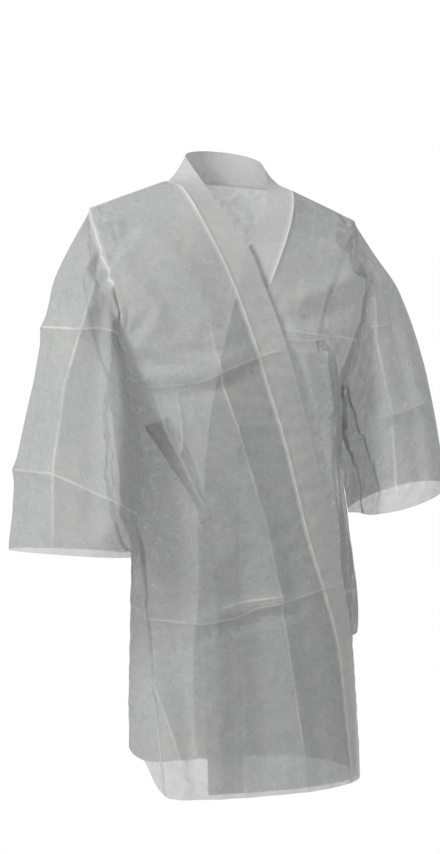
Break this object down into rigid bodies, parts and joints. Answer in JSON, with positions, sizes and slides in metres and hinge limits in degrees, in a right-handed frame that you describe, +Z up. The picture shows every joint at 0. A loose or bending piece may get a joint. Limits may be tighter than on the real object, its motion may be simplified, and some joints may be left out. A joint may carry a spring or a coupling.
{
  "type": "patient gown",
  "caption": "Knee-length wrap-over patient gown with wide sleeves, a folded neckband that runs on down the crossed fronts, and cloth ties, in its worn shape and empty inside.",
  "frame": {"origin": "middle of the neck opening, level with the neck ends of the shoulder seams, where the wearer's shoulders hold the gown up", "axes": "+Z up, the front faces -Y, and the wearer's left is +X"},
  "size_m": [0.7346, 0.3179, 1.0006],
  "materials": {
    "nonwoven_cloth": "matte spunbond polypropylene cloth, thin enough to show what lies behind it",
    "doubled_cloth": "the same cloth folded double, whiter and closer"
  },
  "bodies": {
    "gown": {"right_front_yoke": "nonwoven_cloth", "right_front_side": "nonwoven_cloth", "left_front_panel": "nonwoven_cloth", "left_front_band": "doubled_cloth", "back_panel": "nonwoven_cloth", "neckband": "doubled_cloth", "right_inner_tie": "doubled_cloth", "left_inner_tie": "doubled_cloth", "inner_knot": "doubled_cloth"},
    "front_flap": {"right_front_flap": "nonwoven_cloth", "right_front_band": "doubled_cloth"},
    "right_sleeve": {"right_sleeve": "nonwoven_cloth"},
    "left_sleeve": {"left_sleeve": "nonwoven_cloth"},
    "inner_tie_tail": {"inner_tie_tail": "doubled_cloth"},
    "side_tie": {"side_tie": "doubled_cloth"}
  },
  "joints": [
    {"name": "front_flap_open", "type": "hinge", "parent": "gown", "child": "front_flap", "pos_m": [-0.062, -0.128, -0.17], "axis": [-0.065, -0.0052, -0.9979], "range_deg": [0, 50]},
    {"name": "right_sleeve_lift", "type": "hinge", "parent": "gown", "child": "right_sleeve", "pos_m": [-0.226, 0, -0.048], "axis": [0, 1, 0], "range_deg": [0, 25]},
    {"name": "left_sleeve_lift", "type": "hinge", "parent": "gown", "child": "left_sleeve", "pos_m": [0.226, 0, -0.048], "axis": [0, -1, 0], "range_deg": [0, 25]},
    {"name": "inner_tie_swing", "type": "hinge", "parent": "gown", "child": "inner_tie_tail", "pos_m": [-0.075, -0.118, -0.535], "axis": [-0.2873, -0.9578, 0], "range_deg": [-4, 4]},
    {"name": "side_tie_swing", "type": "hinge", "parent": "gown", "child": "side_tie", "pos_m": [0.189, 0, -0.398], "axis": [1, 0, 0], "range_deg": [-12, 12]}
  ]
}
